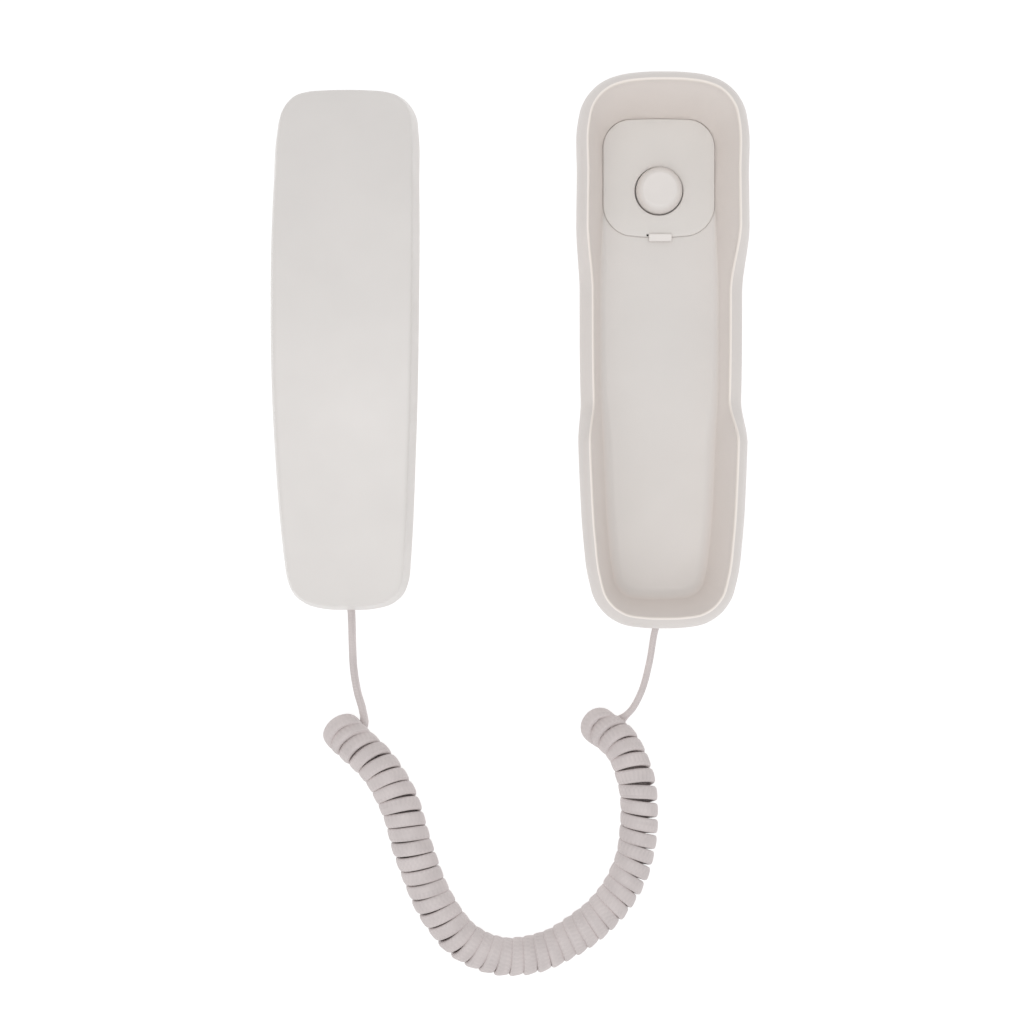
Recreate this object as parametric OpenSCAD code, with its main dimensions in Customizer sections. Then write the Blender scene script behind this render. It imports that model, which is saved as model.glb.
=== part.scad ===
// Corded landline phone: tray-shaped cradle with hook button, arched handset lying face down
// beside it, and the coiled cord that joins their two lower ends.
// Frame in mm: origin at the centre of the cradle's back face, +Y to the earpiece end,
// +Z out of the back face, handset on the -X side.

/* [Cradle] */
// Half length at the widest line of the outer wall
cradle_l = 103.5; // [90:0.5:120]
// Half width at the widest line of the outer wall
cradle_w = 32.4; // [28:0.1:40]
// Height of the rim at both ends
rim_z = 45; // [40:0.5:55]
// Depth of the finger dip in the rim at mid length
dip = 14; // [4:0.5:18]
// Height of the tray floor
floor_z = 14; // [13:0.5:18]
// Wall thickness of the moulded shells
wall = 2.2; // [1.6:0.1:3]
// Thickness of the screwed-on back plate
plate_t = 2.2; // [1.6:0.1:3]

/* [Hook button] */
// Distance of the button from mid length
button_y = 62.3; // [50:0.1:75]
// Diameter of the hole in the raised pad
button_hole = 18.5; // [16:0.1:24]
// Diameter of the button's skirt
button_d = 17.6; // [15:0.1:23]
// Height of the button's flat top
button_top = 21; // [18:0.5:24]

/* [Handset] */
// Distance of the handset's centre line to the left of the cradle's
handset_dx = 118; // [90:0.5:160]
// Distance of the handset's middle from the cradle's, along the cradle
handset_dy = 1.1; // [-5:0.1:5]
// Half length at the parting line
handset_l = 98.6; // [85:0.1:110]
// Half width at the parting line
handset_w = 27.6; // [24:0.1:34]
// Height of the parting line at both ends
part_z = 17; // [14:0.5:32]
// Rise of the parting line at mid length
arch = 23; // [4:0.5:26]
// Height of the back shell's edge over the parting line
back_h = 15; // [6:0.5:18]
// Depth of the grip hollow between ear cup and mouth cup
grip_z = 26; // [18:0.5:28]

/* [Keys] */
// Distance between key centres across
key_dx = 14; // [12:0.5:16]
// Distance between key rows
key_dy = 15; // [12:0.5:16]

/* [Cord] */
// Outer diameter of the coil
coil_d = 14.6; // [10:0.1:18]
// Width of the flat cord
cord_w = 4.6; // [4:0.1:6]
// Thickness of the flat cord
cord_t = 2.7; // [2:0.1:3.5]

/* [Wall mounting] */
// Distance between the two keyholes
keyhole_dy = 83; // [60:0.5:100]
// Height of the lower keyhole's centre, measured from mid length
keyhole_y = -63; // [-75:0.5:-50]

/* [Hidden] */

plastic = [0.87, 0.84, 0.81];
cable = [0.80, 0.76, 0.75];
board = [0.20, 0.42, 0.26];
steel = [0.72, 0.72, 0.72];
dark = [0.18, 0.18, 0.19];

// Half outlines from the upper tip to the lower tip, as shares of half width and half length
cradle_half = [[0, 1], [0.28, 0.997], [0.51, 0.986], [0.70, 0.962], [0.845, 0.922],
  [0.935, 0.874], [0.977, 0.816], [0.988, 0.62], [0.997, 0.4], [1, 0.15], [0.994, -0.1],
  [0.975, -0.3], [0.954, -0.48], [0.915, -0.675], [0.852, -0.825], [0.778, -0.9],
  [0.65, -0.951], [0.475, -0.984], [0.25, -0.997], [0, -1]];
handset_half = [[0, 1], [0.29, 0.998], [0.55, 0.991], [0.725, 0.974], [0.855, 0.938],
  [0.932, 0.895], [0.97, 0.82], [0.988, 0.62], [1, 0.41], [0.998, 0.19], [0.989, -0.05],
  [0.97, -0.26], [0.945, -0.43], [0.92, -0.585], [0.89, -0.72], [0.865, -0.81],
  [0.832, -0.884], [0.75, -0.94], [0.59, -0.977], [0.33, -0.997], [0, -1]];

// Centre lines of the cord's three stretches
coil_path = [[-120, -147.5, 7.3], [-107, -159.5, 7.3], [-100.5, -170, 7.3], [-93.5, -192, 7.3],
  [-84, -214, 7.3], [-75, -225, 7.3], [-62, -231, 7.3], [-48, -230.5, 7.3],
  [-31, -222.5, 7.3], [-18.5, -211.5, 7.3], [-10.5, -198, 7.3], [-7.2, -180, 7.3],
  [-9, -161, 7.3], [-16, -147.5, 7.3], [-22, -143, 7.3]];
base_lead_path = [[0, -97.9, 6.5], [0, -101, 6.3], [-1.2, -108, 3.2], [-3, -119, 2.6],
  [-6.5, -131, 2.8], [-10.6, -140, 4.6], [-12.5, -144.5, 6]];
handset_lead_path = [[-118, -92.6, 8], [-118, -96, 7.7], [-118, -104, 3.6], [-117.8, -112, 2.6],
  [-117.4, -122, 2.6], [-116, -130.5, 2.8], [-113.8, -140.4, 4]];

inner_draft = 0.18;
outer_draft = 0.158;
widest_z = rim_z - 8;
front_draft = 0.2;
hx = -handset_dx;
gap = 0.3;
screw_r = 1.4;
case_screw_xy = [[-15, 88], [15, 88], [-14, -82], [14, -40]];
pad_xy = [[-17, 76], [17, 76], [-15.5, -70], [12.5, -79.5]];
handset_screw_xy = [[-14, 59], [14, 59], [-13, -59], [13, -59]];
board_z = plate_t + 0.7;
board_t = 1.6;
board_y0 = 33.5;
board_y1 = 82;
switch_top = 10.5;
flange_z = 10.2;
slide_y = -50;
line_y = -60;
key_face = grip_z - 2.2;
key_size = [10.5, 8.5];
key_rows = [27, 12, -3, -18];
function_row = -33;
membrane_z = 31;
weight_top = 30;
mic_y = -69;
button_seg = 96;

// ---------- curves and skins ----------

function smooth(t) = let (u = min(1, max(0, t))) u * u * (3 - 2 * u);
function blend(a, b, t) = a + (b - a) * t;
function closed(half, w, l) = [
  for (p = half) [p.x * w, p.y * l],
  for (i = [len(half) - 2 : -1 : 1]) [-half[i].x * w, half[i].y * l]];
function slope(a, b, c) =
  let (u = norm(b - a), v = norm(c - b)) ((c - b) * u / v + (b - a) * v / u) / (u + v);
function curve(p, q, m, n, t) =
  (2*t*t*t - 3*t*t + 1) * p + (t*t*t - 2*t*t + t) * m + (3*t*t - 2*t*t*t) * q + (t*t*t - t*t) * n;
function heading(p, q, m, n, t) =
  (6*t*t - 6*t) * p + (3*t*t - 4*t + 1) * m + (6*t - 6*t*t) * q + (3*t*t - 2*t) * n;

// Points of a closed curve with their outward normals: [[point, normal], ...]
function outline(half, w, l) =
  let (c = closed(half, w, l), n = len(c))
  [for (k = [0 : n - 1])
    let (p = c[k], q = c[(k + 1) % n], s = norm(q - p),
      m = slope(c[(k + n - 1) % n], p, q) * s, e = slope(p, q, c[(k + 2) % n]) * s,
      steps = s > 15 ? 3 : s > 9 ? 2 : 1)
    for (j = [0 : steps - 1])
      let (h = heading(p, q, m, e, j / steps), u = h / norm(h))
        [curve(p, q, m, e, j / steps), [-u.y, u.x]]];

cradle_line = outline(cradle_half, cradle_w, cradle_l);
handset_line = outline(handset_half, handset_w, handset_l);

// Closed skin over rings of equal length, closed at both ends by rungs between mirrored points
module skin(rings) {
  n = len(rings[0]);
  h = n / 2;
  last = (len(rings) - 1) * n;
  sides = [for (r = [0 : len(rings) - 2], i = [0 : n - 1])
    let (a = r * n + i, b = a + n, c = (r + 1) * n + (i + 1) % n, d = r * n + (i + 1) % n)
    each [[a, b, c], [a, c, d]]];
  rungs = concat([[0, 1, n - 1], [h - 1, h, h + 1]],
    [for (i = [1 : h - 2]) each [[i, i + 1, n - i - 1], [i, n - i - 1, n - i]]]);
  lid = [for (f = rungs) [f[2] + last, f[1] + last, f[0] + last]];
  polyhedron(points = [for (r = rings) each r], faces = concat(rungs, sides, lid), convexity = 8);
}

// Solid swept along a smooth curve through the path, with an elliptical section
module sweep(path, across, high, sides, steps) {
  n = len(path);
  pts = [for (k = [0 : n - 2])
    let (p = path[k], q = path[k + 1], s = norm(q - p),
      m = (k == 0 ? (q - p) / s : slope(path[k - 1], p, q)) * s,
      e = (k == n - 2 ? (q - p) / s : slope(p, q, path[k + 2])) * s,
      last = k == n - 2 ? steps : steps - 1)
    for (j = [0 : last]) [curve(p, q, m, e, j / steps), heading(p, q, m, e, j / steps)]];
  rings = [for (p = pts)
    let (t = p[1] / norm(p[1]), side = [t.y, -t.x, 0] / norm([t.y, -t.x]), up = cross(side, t))
    [for (i = [0 : sides - 1]) let (a = 90 + i * 360 / sides)
      p[0] + side * cos(a) * across / 2 + up * sin(a) * high / 2]];
  m = len(rings);
  walls = [for (r = [0 : m - 2], i = [0 : sides - 1])
    let (a = r * sides + i, b = r * sides + (i + 1) % sides)
    each [[a, b, b + sides], [a, b + sides, a + sides]]];
  polyhedron(points = [for (r = rings) each r], convexity = 8,
    faces = concat([[for (i = [sides - 1 : -1 : 0]) i]], walls,
      [[for (i = [0 : sides - 1]) (m - 1) * sides + i]]));
}

// ---------- cradle ----------

function rim_dip(y) = dip * (smooth((47 - y) / 25) - smooth((-18 - y) / 17));
function bowl(y) = smooth((-2 - y) / 40);
function ear_end(y) = smooth((y - 80) / 18);

// One row per ring: inset, height, share of the dip in height and in inset, bowl share of both,
// extra inset of the gently sloping wall at the ear end
function wall_inset(z) = 4.6 + (rim_z - 1 - z) * inner_draft;
function skin_inset(z) = (widest_z - z) * outer_draft;
cradle_rows = [
  [12.6, floor_z, 0, 0, 3, -1, 1.3],
  [11, floor_z + 0.4, 0, 0, 1.3, -0.5, 2.3],
  [9.9, floor_z + 1.5, 0, 0, -0.1, 0.9, 3],
  [9.46, floor_z + 3, 0, 0, -0.5, 2.7, 3],
  [wall_inset(rim_z - 10), rim_z - 10, 1, inner_draft, 0, 0, 1],
  [wall_inset(rim_z - 1), rim_z - 1, 1, inner_draft, 0, 0, 0],
  [4.2, rim_z - 0.2, 1, inner_draft, 0, 0, 0],
  [3.5, rim_z, 1, inner_draft, 0, 0, 0],
  [2.7, rim_z - 0.4, 1, inner_draft, 0, 0, 0],
  [2.1, rim_z - 1.6, 1, inner_draft, 0, 0, 0],
  [0.8, rim_z - 5, 0.9, outer_draft, 0, 0, 0],
  [0, widest_z, 0.8, outer_draft * 0.8, 0, 0, 0],
  [0.35, widest_z - 4, 0.75, outer_draft * 0.75, 0, 0, 0],
  [skin_inset(16), 16, 0.2, outer_draft * 0.2, 0, 0, 0],
  [skin_inset(1), 1, 0, 0, 0, 0, 0],
  [skin_inset(0) + 0.8, 0, 0, 0, 0, 0, 0],
  [skin_inset(0) + wall, 0, 0, 0, 0, 0, 0],
  [skin_inset(12) + wall, 12, 0.2, outer_draft * 0.2, 0, 0, 0],
  [skin_inset(rim_z - 11) + wall, rim_z - 11, 1, outer_draft, 0, 0, 0],
  [wall_inset(rim_z - 11) - wall, rim_z - 11, 1, inner_draft, 0, 0, 0.8],
  [wall_inset(18) - wall, 18, 0.1, inner_draft * 0.1, 0, 0, 2.4],
  [9.2, floor_z - 1.4, 0, 0, 0, -0.5, 2.6],
  [12.6, floor_z - wall, 0, 0, 3, -1, 1.3]];

function cradle_ring(r) = [for (b = cradle_line)
  let (y = b[0].y, k = rim_dip(y), s = bowl(y), d = r[0] + r[3] * k + r[4] * s + r[6] * ear_end(y),
    p = b[0] - b[1] * d)
  [p.x, p.y, r[1] - r[2] * k + r[5] * s]];

module rounded(x, y, r) {
  for (i = [-1, 1], j = [-1, 1]) translate([i * (x / 2 - r), j * (y / 2 - r)]) circle(r, $fn = 32);
  square([x - 2 * r, y], center = true);
  square([x, y - 2 * r], center = true);
}

module block(x, y, z, w, l, h) {
  translate([x - w / 2, y - l / 2, z]) cube([w, l, h]);
}

module peg(x, y, z, r, h, seg = 32) {
  translate([x, y, z]) cylinder(r = r, h = h, $fn = seg);
}

module cradle_shell() color(plastic) {
  difference() {
    union() {
      skin([for (r = cradle_rows) cradle_ring(r)]);
      translate([0, 67.3, floor_z - 1]) linear_extrude(2) rounded(42.6, 45.2, 10);
      for (p = case_screw_xy) peg(p.x, p.y, plate_t, 3.4, floor_z - wall - plate_t);
    }
    peg(0, button_y, floor_z - 5, button_hole / 2, 10, button_seg);
    for (p = case_screw_xy) peg(p.x, p.y, plate_t - 1, screw_r + 0.1, 8);
    block(0, 44.6, floor_z - 4, 5.6, 2.6, 8);
    block(0, -97, 2.8, 9.6, 12, 7.2);
    block(25, line_y, 3, 14, 10.4, 7.2);
    block(-25, slide_y, 5, 14, 7.6, 3.2);
  }
}

module back_plate() color(plastic * 0.97) {
  difference() {
    union() {
      linear_extrude(plate_t)
        polygon([for (b = cradle_line) b[0] - b[1] * (skin_inset(0) + wall + gap)]);
      for (x = [-14, 14], y = [board_y0 + 4, board_y1 - 4]) peg(x, y, plate_t, 2.2, 0.7);
      for (x = [-8.5, 8.5], y = [-18, 4]) block(x, y, plate_t, 3, 3, 0.6);
    }
    for (y = [keyhole_y, keyhole_y + keyhole_dy]) {
      peg(0, y, -1, 4.2, 5, 48);
      peg(0, y + 8, -1, 2.2, 5);
      block(0, y + 4, -1, 4.4, 8, 5);
    }
    for (p = case_screw_xy) {
      peg(p.x, p.y, -1, screw_r + 0.2, 5);
      peg(p.x, p.y, -1, 3, 2.2);
    }
    for (p = pad_xy) peg(p.x, p.y, -1, 5.1, 2.3, 48);
    for (i = [-2 : 2]) block(i * 3.2, -25, -1, 1.4, 11, 5);
  }
}

module base_pcb() color(board) {
  difference() {
    translate([-18, board_y0, board_z]) cube([36, board_y1 - board_y0, board_t]);
    for (x = [-14, 14], y = [board_y0 + 4, board_y1 - 4]) peg(x, y, board_z - 1, 0.9, 4);
  }
}

module base_parts() color(dark) {
  z = board_z + board_t;
  peg(-13, 48, z, 2.5, 6.4);
  peg(-13, 55, z, 2, 5);
  peg(13, 44, z, 2.5, 6.4);
  block(0, 37, z, 9, 6, 2.4);
  block(11, 36, z, 5, 4, 1.6);
  block(-11, 38, z, 6, 4, 2);
  block(14, 54, z, 2.6, 7, 2.6);
}

module hook_button() color(plastic) translate([0, button_y, 0]) {
  r = button_d / 2;
  rotate_extrude($fn = button_seg) polygon([[2.5, switch_top - 0.6], [2.5, button_top - 1.6],
    [r - 1.5, button_top - 2.6], [r - 1.5, flange_z], [r + 1.8, flange_z], [r + 1.8, flange_z + 1.3],
    [r, flange_z + 1.3], [r, 17.4], [r - 0.3, 18.9], [r - 1, 20.1], [r - 1.9, 20.8],
    [r - 2.6, button_top], [0, button_top], [0, switch_top - 0.6]]);
}

module hook_spring() color(steel) {
  turns = 4;
  low = switch_top + 0.4;
  high = button_top - 2.5;
  ring_n = turns * 12;
  rings = [for (i = [0 : ring_n])
    let (a = i * 30, z = low + (high - low) * i / ring_n, c = [cos(a), sin(a)] * 4)
    [for (j = [0 : 5]) let (b = j * 60)
      [c.x + cos(a) * cos(b) * 0.35, button_y + c.y + sin(a) * cos(b) * 0.35, z + sin(b) * 0.35]]];
  walls = [for (r = [0 : ring_n - 1], i = [0 : 5]) let (a = r * 6 + i, b = r * 6 + (i + 1) % 6)
    each [[a, b + 6, b], [a, a + 6, b + 6]]];
  polyhedron(points = [for (r = rings) each r], convexity = 8,
    faces = concat([[0, 1, 2, 3, 4, 5]], walls, [[for (i = [5 : -1 : 0]) ring_n * 6 + i]]));
}

module hook_switch() color(dark) {
  z = board_z + board_t;
  difference() {
    block(0, button_y, z, 9.4, 9.4, switch_top - z);
    peg(0, button_y, z - 1, 2.6, 9, button_seg);
  }
}

module hanger_tab() color(plastic) {
  block(0, 44.6, floor_z + 1.1, 8.9, 3, 1.5);
  block(0, 44.6, floor_z - 3.6, 5, 2, 4.8);
}

// Modular socket body with its mouth towards +X; w across, d deep, h high
module socket(w, d, h, mouth_w, mouth_h) {
  difference() {
    translate([-d, -w / 2, -h / 2]) cube([d, w, h]);
    translate([-d + 1.5, -mouth_w / 2, -mouth_h / 2]) cube([d, mouth_w, mouth_h]);
  }
  for (i = [-1.5 : 1.5]) translate([-d + 1.5, i * 1.2 - 0.2, -mouth_h / 2]) cube([2, 0.4, 0.8]);
}

module line_jack() color(dark) translate([21.9, line_y, 6.6]) socket(12.4, 14, 7.8, 9.8, 6.4);

module base_cord_jack() color(dark)
  translate([0, -95.6, 6.5]) rotate([0, 0, -90]) socket(10.2, 13.5, 7.4, 8, 6.2);

module ringer() color(dark) {
  difference() {
    peg(0, -7, plate_t + 0.6, 12.5, 6.4, 64);
    peg(0, -7, plate_t + 6, 2, 3);
  }
}

module ringer_switch_body() color(steel) {
  difference() {
    block(-19.6, slide_y, 3.2, 5.4, 13, 6.4);
    block(-21.6, slide_y, 5.4, 4, 7, 2.4);
  }
}

module ringer_switch_knob() color(plastic) {
  block(-23.6, slide_y, 5.8, 6, 2.6, 1.6);
  block(-27.4, slide_y, 5.6, 2.4, 3.4, 2);
}

module screw(head_z, tip_z) {
  flip = sign(tip_z - head_z);
  translate([0, 0, head_z]) scale([1, 1, flip]) difference() {
    union() {
      cylinder(r = 2.7, h = 1, $fn = 40);
      cylinder(r = screw_r, h = abs(tip_z - head_z), $fn = 32);
    }
    for (a = [0, 90]) rotate(a) translate([-1.5, -0.3, -1]) cube([3, 0.6, 1.6]);
  }
}

module case_screws() color(steel)
  for (p = case_screw_xy) translate([p.x, p.y, 0]) screw(0.2, 7.5);

module rubber_pads() color(dark) for (p = pad_xy) peg(p.x, p.y, 0, 5, 1.3, 48);

// ---------- handset ----------

function part_line(y) = part_z + arch * (1 - pow(min(1, abs(y) / handset_l), 2));
function grip(y) = grip_z * (1 - smooth((abs(y) - 36) / 19));

module at_handset() translate([hx, handset_dy, 0]) children();

// Back shell rows: inset and height over the parting line
back_rows = [[9, back_h + 0.9], [3.4, back_h + 0.5], [2.1, back_h], [1.5, back_h - 1],
  [0.35, 2], [0, 0.1], [2, 0.1], [3.2, back_h - 3.4], [5, back_h - 1.8], [9, back_h - 1.3]];

module handset_back() color(plastic) at_handset() {
  difference() {
    union() {
      skin([for (r = back_rows) [for (b = handset_line) let (p = b[0] - b[1] * r[0])
        [p.x, p.y, part_line(p.y) + r[1]]]]);
      for (p = handset_screw_xy) peg(p.x, p.y, 9, 3.4, part_line(59) + back_h - 10);
      for (x = [-8, 8]) peg(x, 72, weight_top, 2, part_line(72) + back_h - weight_top - 1);
    }
    for (p = handset_screw_xy) peg(p.x, p.y, 8, screw_r + 0.1, 10);
  }
}

// Front shell rows: share of the way down to the face, extra inset, extra height, inner face or not
front_rows = [[1, 3.4, 0, 1], [1, 2.3, 1.2, 1], [0.5, 2.2, 0, 1], [0, 2.3, 0, 0], [0, 0.2, 0, 0],
  [0.15, 0.1, 0, 0], [0.5, 0, 0, 0], [0.9, 0, 0, 0], [1, 0.5, 0.5, 0], [1, 1.4, 0, 0]];

module handset_front() color(plastic) at_handset() {
  difference() {
    union() {
      skin([for (r = front_rows) [for (b = handset_line)
        let (y = b[0].y, top = part_line(y - b[1].y * r[1]),
          low = grip(abs(y) - 1.6 * r[3]) + 2 * r[3],
          d = (top - blend(top, low, r[0])) * front_draft + r[1],
          p = b[0] - b[1] * d)
        [p.x, p.y, blend(top, low, r[0]) + r[2]]]]);
      for (p = handset_screw_xy) peg(p.x, p.y, 1, 3.4, 7.7);
      for (x = [-17, 17], y = [-39, 39]) peg(x, y, 27, 1.8, 4.4);
    }
    for (p = handset_screw_xy) {
      peg(p.x, p.y, -1, screw_r + 0.2, 12);
      peg(p.x, p.y, -1, 3, 4.2);
    }
    for (y = key_rows, i = [-1 : 1])
      block(i * key_dx, y, grip_z - 4, key_size.x + 0.7, key_size.y + 0.7, 8);
    for (i = [-1, 1]) block(i * key_dx * 0.6, function_row, grip_z - 4, 11.9, 5.9, 8);
    for (a = [0 : 60 : 300]) peg(5 * cos(a), 73 + 5 * sin(a), -1, 1, 5, 20);
    peg(0, 73, -1, 1, 5, 20);
    for (i = [-1 : 1]) peg(i * 4, mic_y, -1, 0.9, 5, 20);
    block(0, -93, 4.2, 9.2, 12, 7.6);
  }
}

module ear_speaker() color(dark) at_handset() {
  peg(0, 73, 3.2, 15, 4.6, 64);
  peg(0, 73, 7.8, 8, 4, 48);
}

module ear_gasket() color(dark * 0.8) at_handset() translate([0, 73, 2.05])
  rotate_extrude($fn = 64) translate([9, 0]) square([3.4, 1.1]);

module microphone() color(steel) at_handset() peg(0, mic_y, 3.2, 4.85, 4.4, 48);

module mic_boot() color(dark) at_handset() difference() {
  peg(0, mic_y, 2.05, 6.4, 5.4, 48);
  peg(0, mic_y, 3.15, 4.9, 6, 48);
  peg(0, mic_y, 1, 3, 4, 32);
}

module handset_pcb() color(board) at_handset()
  translate([-19.5, -42, membrane_z + 1.2]) cube([39, 84, 1.6]);

module handset_parts() color(dark) at_handset() {
  z = membrane_z + 2.8;
  block(0, 5, z, 12, 14, 2.2);
  block(-12, -14, z, 6, 5, 1.8);
  block(11, 20, z, 5, 8, 1.6);
  peg(12, -12, z, 3.1, 5);
  peg(-11, 22, z, 2.5, 4.6);
  block(0, -30, z, 12, 3.4, 3);
}

module keypad_membrane() color([0.55, 0.55, 0.55]) at_handset() {
  translate([-19, -40, membrane_z + 0.4]) cube([38, 80, 0.8]);
  for (y = key_rows, i = [-1 : 1]) peg(i * key_dx, y, membrane_z - 0.1, 2.4, 0.6, 24);
}

module key_cap(x, y, w, l) color([0.93, 0.92, 0.90]) at_handset() {
  translate([x, y, key_face]) linear_extrude(5) rounded(w, l, 2.4);
  translate([x, y, grip_z + 2.3]) linear_extrude(0.9) rounded(w + 1.8, l + 1.8, 2.6);
}

module digit_key(row, column)
  key_cap(column * key_dx, key_rows[row], key_size.x, key_size.y);

module key_1() digit_key(0, 1);
module key_2() digit_key(0, 0);
module key_3() digit_key(0, -1);
module key_4() digit_key(1, 1);
module key_5() digit_key(1, 0);
module key_6() digit_key(1, -1);
module key_7() digit_key(2, 1);
module key_8() digit_key(2, 0);
module key_9() digit_key(2, -1);
module key_star() digit_key(3, 1);
module key_0() digit_key(3, 0);
module key_hash() digit_key(3, -1);
module key_flash() key_cap(key_dx * 0.6, function_row, 11.2, 5.2);
module key_redial() key_cap(-key_dx * 0.6, function_row, 11.2, 5.2);

module handset_jack() color(dark)
  translate([hx, -90.4, 8]) rotate([0, 0, -90]) socket(10.2, 13.5, 7.6, 8, 6.2);

module handset_weight() color(steel) at_handset()
  translate([-12, 63, weight_top - 4]) cube([24, 22, 4]);

module handset_screws() color(steel) at_handset()
  for (p = handset_screw_xy) translate([p.x, p.y, 0]) screw(2.1, 16);

// ---------- cord ----------

module coil_cord() color(cable) sweep(coil_path, coil_d, coil_d, 12, 3);
module base_lead() color(cable) sweep(base_lead_path, cord_t, cord_w, 8, 2);
module handset_lead() color(cable) sweep(handset_lead_path, cord_t, cord_w, 8, 2);

// Modular plug with its wire end towards -Y
module plug() {
  block(0, -0.8, -3, 7.6, 9.4, 5.8);
  block(0, -6.5, -2.4, 6, 3, 4.6);
}

module base_plug() color([0.9, 0.9, 0.88, 0.6]) translate([0, -89.6, 6.6]) plug();
module handset_plug() color([0.9, 0.9, 0.88, 0.6]) translate([hx, -84.3, 8.1]) plug();

cradle_shell();
back_plate();
base_pcb();
base_parts();
hook_button();
hook_spring();
hook_switch();
hanger_tab();
line_jack();
base_cord_jack();
ringer();
ringer_switch_body();
ringer_switch_knob();
case_screws();
rubber_pads();
handset_back();
handset_front();
ear_speaker();
ear_gasket();
microphone();
mic_boot();
handset_pcb();
handset_parts();
keypad_membrane();
key_1();
key_2();
key_3();
key_4();
key_5();
key_6();
key_7();
key_8();
key_9();
key_star();
key_0();
key_hash();
key_flash();
key_redial();
handset_jack();
handset_weight();
handset_screws();
coil_cord();
base_lead();
handset_lead();
base_plug();
handset_plug();
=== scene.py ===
"""Corded landline phone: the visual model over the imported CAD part.
Lengths are in millimetres until a mesh is made, lights and camera in metres."""

import math

import bmesh
import bpy
import numpy as np
from mathutils import Matrix, Vector
from mathutils.kdtree import KDTree


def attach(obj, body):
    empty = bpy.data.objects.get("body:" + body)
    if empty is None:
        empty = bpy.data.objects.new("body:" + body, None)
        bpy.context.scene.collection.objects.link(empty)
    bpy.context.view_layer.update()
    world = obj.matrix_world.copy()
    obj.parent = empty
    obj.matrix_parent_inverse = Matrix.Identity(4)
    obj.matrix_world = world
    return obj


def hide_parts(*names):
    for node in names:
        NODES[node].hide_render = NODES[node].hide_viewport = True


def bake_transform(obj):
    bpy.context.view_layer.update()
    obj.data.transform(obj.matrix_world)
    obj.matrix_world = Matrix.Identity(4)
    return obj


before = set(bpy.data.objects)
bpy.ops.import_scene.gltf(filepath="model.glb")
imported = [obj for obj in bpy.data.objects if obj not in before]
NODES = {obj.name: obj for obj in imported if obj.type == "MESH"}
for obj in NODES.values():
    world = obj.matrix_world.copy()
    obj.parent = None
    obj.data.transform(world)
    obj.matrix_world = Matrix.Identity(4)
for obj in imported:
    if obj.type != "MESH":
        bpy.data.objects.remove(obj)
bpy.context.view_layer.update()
MM = 0.001

# ---------------------------------------------------------------- sizes, as in the CAD source
CRADLE_L, CRADLE_W = 103.5, 32.4
RIM_Z, DIP, FLOOR_Z, WALL = 45.0, 14.0, 14.0, 2.2
WIDEST_Z = RIM_Z - 8
INNER_DRAFT, OUTER_DRAFT, FRONT_DRAFT = 0.18, 0.158, 0.2
PAD_Y, PAD_W, PAD_L, PAD_R, PAD_Z = 67.3, 42.6, 45.2, 10.0, 15.0
BUTTON_Y, BUTTON_HOLE_R, BUTTON_R, BUTTON_TOP = 62.3, 9.25, 8.8, 21.0
SWITCH_TOP, FLANGE_Z = 10.5, 10.2
TAB_Y = 44.6
# Middle of the handset, beside the cradle
HX, HY = -118.0, 1.1
HANDSET_L, HANDSET_W = 98.6, 27.6
PART_Z, ARCH, GRIP_Z = 17.0, 23.0, 26.0
KEY_DX, KEY_SIZE = 14.0, (10.5, 8.5)
KEY_ROWS, FUNCTION_ROW = (27, 12, -3, -18), -33
KEY_FACE = GRIP_Z - 2.2
FUNCTION_SIZE, FUNCTION_DX = (11.2, 5.2), KEY_DX * 0.6
KEY_CORNER_R, KEY_GAP, KEY_FLANGE = 2.4, 0.35, 0.9
HANDSET_SCREWS = [(-14, 59), (14, 59), (-13, -59), (13, -59)]
EAR_Y, MIC_Y = 73.0, -69.0
LINE_Y, SLIDE_Y = -60.0, -50.0
# Ends of the cord's jacket inside the handset's and the cradle's plugs
HANDSET_EXIT, BASE_EXIT = (HX, -92.6, 8.0), (0, -97.9, 6.5)
COIL_D, CORD_W, CORD_T = 14.6, 5.35, 2.6

# Right halves of the two outlines, as shares of the half width and half length
CRADLE_HALF = [
    (0, 1), (0.28, 0.997), (0.51, 0.986), (0.70, 0.962), (0.845, 0.922), (0.935, 0.874),
    (0.977, 0.816), (0.988, 0.62), (0.997, 0.4), (1, 0.15), (0.994, -0.1), (0.975, -0.3),
    (0.954, -0.48), (0.915, -0.675), (0.852, -0.825), (0.778, -0.9), (0.65, -0.951),
    (0.475, -0.984), (0.25, -0.997), (0, -1)]
HANDSET_HALF = [
    (0, 1), (0.29, 0.998), (0.55, 0.991), (0.725, 0.974), (0.855, 0.938), (0.932, 0.895),
    (0.97, 0.82), (0.988, 0.62), (1, 0.41), (0.998, 0.19), (0.989, -0.05), (0.97, -0.26),
    (0.945, -0.43), (0.92, -0.585), (0.89, -0.72), (0.865, -0.81), (0.832, -0.884),
    (0.75, -0.94), (0.59, -0.977), (0.33, -0.997), (0, -1)]
# The coil's middle line on the table, from the handset's end to the cradle's
COIL_PATH = [
    (-122.9, -143.1), (-119.3, -146.8), (-106.8, -159.2), (-100.5, -170), (-93.5, -192), (-84, -214),
    (-75, -225), (-62, -231), (-48, -230.5), (-31, -222.5), (-18.5, -211.5), (-10.5, -198), (-7.2, -180),
    (-9, -161), (-16, -147.5), (-21.4, -143.5), (-24.8, -140.9)]


# ---------------------------------------------------------------- camera
# Place in metres, focal length and sensor width in millimetres
CAMERA_AT, LENS, SENSOR = (-0.0561, -0.0602, 0.850), 76.9, 36.0


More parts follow.
